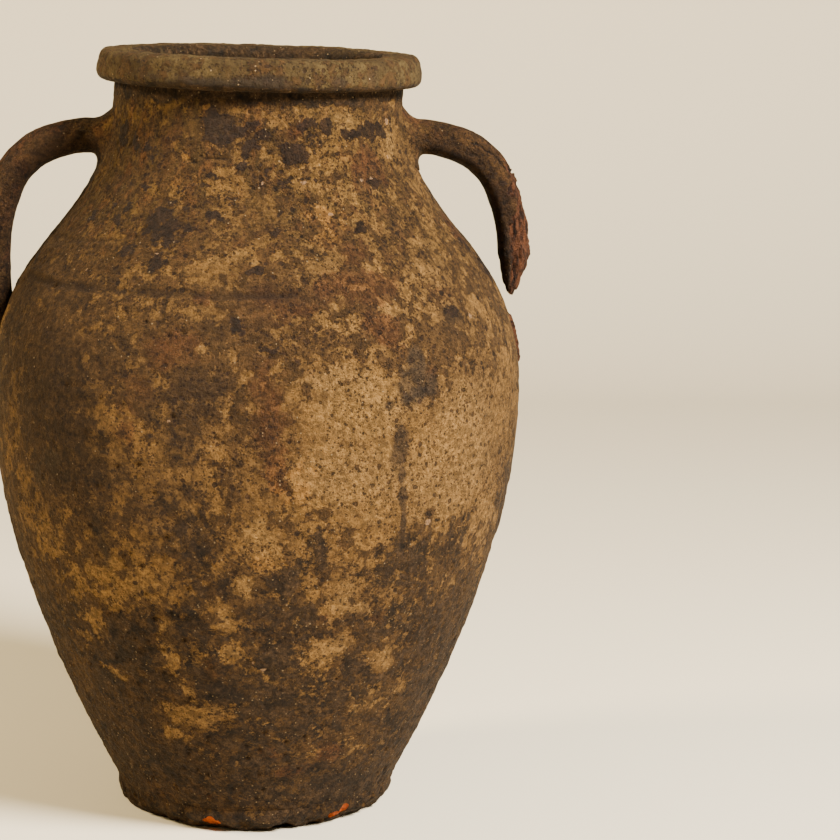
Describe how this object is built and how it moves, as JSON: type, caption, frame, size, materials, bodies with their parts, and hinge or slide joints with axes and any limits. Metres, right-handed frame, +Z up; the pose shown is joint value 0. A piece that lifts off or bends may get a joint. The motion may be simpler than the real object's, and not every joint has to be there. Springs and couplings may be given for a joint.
{
  "type": "amphora",
  "caption": "Large fired-clay storage jar with a flat foot, wide belly, thick rolled rim, one looped handle and one broken handle, weathered and crusted.",
  "frame": {"origin": "centre of the underside of the foot, on the surface that the jar stands on", "axes": "+Z up along the jar's axis; the two handles lie along X, the whole one at -X and the broken one at +X; -Y faces the viewer"},
  "size_m": [0.4358, 0.416, 0.6],
  "materials": {
    "weathered_clay": "matte",
    "dark_crusted_clay": "matte",
    "olive_clay": "matte",
    "reddish_clay": "matte",
    "torn_clay": "matte"
  },
  "bodies": {
    "root": {"base": "dark_crusted_clay", "lower_wall": "dark_crusted_clay", "belly_lower": "weathered_clay", "belly_upper": "weathered_clay", "shoulder": "weathered_clay", "neck": "weathered_clay", "rim": "olive_clay", "left_handle": "reddish_clay", "right_handle_stub": "reddish_clay", "right_handle_scar": "torn_clay"}
  },
  "joints": []
}
